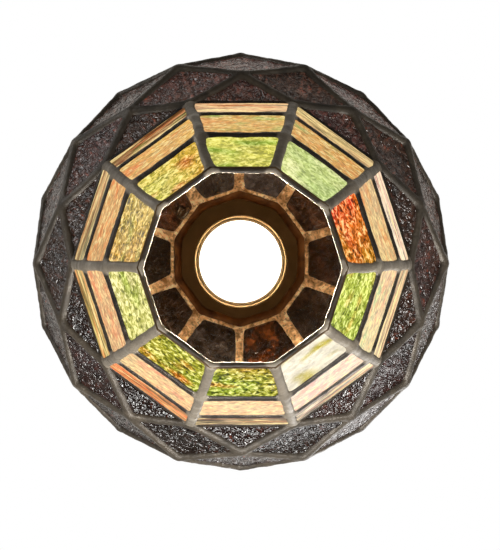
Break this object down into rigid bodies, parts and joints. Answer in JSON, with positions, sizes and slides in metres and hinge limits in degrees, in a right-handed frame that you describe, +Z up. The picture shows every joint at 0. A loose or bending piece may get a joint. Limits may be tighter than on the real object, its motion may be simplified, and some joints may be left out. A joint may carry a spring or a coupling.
{
  "type": "stained glass pendant lamp",
  "caption": "Acorn-shaped leaded glass pendant lamp with a dark scaled cap, a banded lower shade, a screw-in bulb and a swivelling ceiling stem.",
  "frame": {"origin": "centre of the bottom opening, in the plane of its lowest edge", "axes": "+Z up along the stem to the ceiling; +X along the ceiling crossbar, through a corner of the ten-sided shade"},
  "size_m": [0.2614, 0.2676, 0.4553],
  "materials": {
    "zinc_steel": "zinc-plated steel",
    "green_screw": "green-painted earth screw",
    "dark_bronze": "dark bronze patina, satin",
    "brass": "plain brass",
    "liner_board": "insulating fibre board",
    "phenolic": "black phenolic",
    "wire_insulation": "black wire insulation",
    "solder": "rounded lead-tin solder beads with a dark grey-brown patina, coppery inside",
    "rim_brass": "soldered brass rim, dark outside and bright along its inner edge",
    "green_glass": "opalescent granite-textured glass, green to yellow, with orange streaks",
    "peach_glass": "opalescent streaky glass, orange-peach to pink",
    "cream_glass": "opalescent streaky glass, cream with yellow-green, orange and amber",
    "brown_glass": "dark brown hammered glass with amber and burgundy glints",
    "bulb_metal": "nickel-plated screw base",
    "bulb_white": "white plastic",
    "bulb_gold": "gold-coloured collar, bright metal",
    "bulb_opal": "opal white diffuser, lit"
  },
  "bodies": {
    "canopy_set": {"crossbar": "zinc_steel", "crossbar_studs": "zinc_steel", "ground_screw": "green_screw", "canopy": "dark_bronze", "canopy_nuts": "dark_bronze", "swivel_seat": "dark_bronze", "swivel_locknut": "zinc_steel"},
    "swivel": {"swivel_ball": "brass"},
    "shade": {"stem": "dark_bronze", "stem_collar": "dark_bronze", "nipple": "brass", "vase_cap": "dark_bronze", "lock_washer": "zinc_steel", "vase_cap_nut": "brass", "socket_cap": "brass", "socket_outer_shell": "brass", "socket_liner": "liner_board", "socket_interior": "phenolic", "socket_screw_shell": "brass", "socket_center_contact": "brass", "socket_terminal_screws": "zinc_steel", "lead_wires": "wire_insulation", "wire_loop": "solder", "rim_band": "rim_brass", "nut_lower_glass": "green_glass", "nut_middle_glass": "peach_glass", "nut_upper_glass": "cream_glass", "nut_leading": "solder", "cap_edge_glass": "brown_glass", "cap_scale_glass_1": "brown_glass", "cap_scale_glass_2": "brown_glass", "cap_scale_glass_3": "brown_glass", "cap_scale_glass_4": "brown_glass", "cap_crown_glass": "brown_glass", "cap_shoulder_glass": "brown_glass", "cap_leading": "solder"},
    "bulb_centre": {"bulb_contact": "bulb_metal"},
    "bulb": {"bulb_screw_base": "bulb_metal", "bulb_insulator": "phenolic", "bulb_housing": "bulb_white", "bulb_led_board": "bulb_white", "bulb_collar": "bulb_gold", "bulb_diffuser": "bulb_opal"}
  },
  "joints": [
    {"name": "stem_tilt", "type": "hinge", "parent": "canopy_set", "child": "swivel", "pos_m": [0, 0, 0.42729], "axis": [1, 0, 0], "range_deg": [-15, 15]},
    {"name": "stem_turn", "type": "hinge", "parent": "swivel", "child": "shade", "pos_m": [0, 0, 0.42729], "axis": [0, 0, 1], "range_deg": [-170, 170]},
    {"name": "bulb_travel", "type": "slide", "parent": "shade", "child": "bulb_centre", "axis": [0, 0, -1], "range_m": [0, 0.0218]},
    {"name": "bulb_turn", "type": "hinge", "parent": "bulb_centre", "child": "bulb", "pos_m": [0, 0, 0.236], "axis": [0, 0, 1], "range_deg": [0, 2160]}
  ],
  "couplings": [
    {"joint": "bulb_travel", "follows": "bulb_turn", "m_per_rad": 0.00057757}
  ]
}
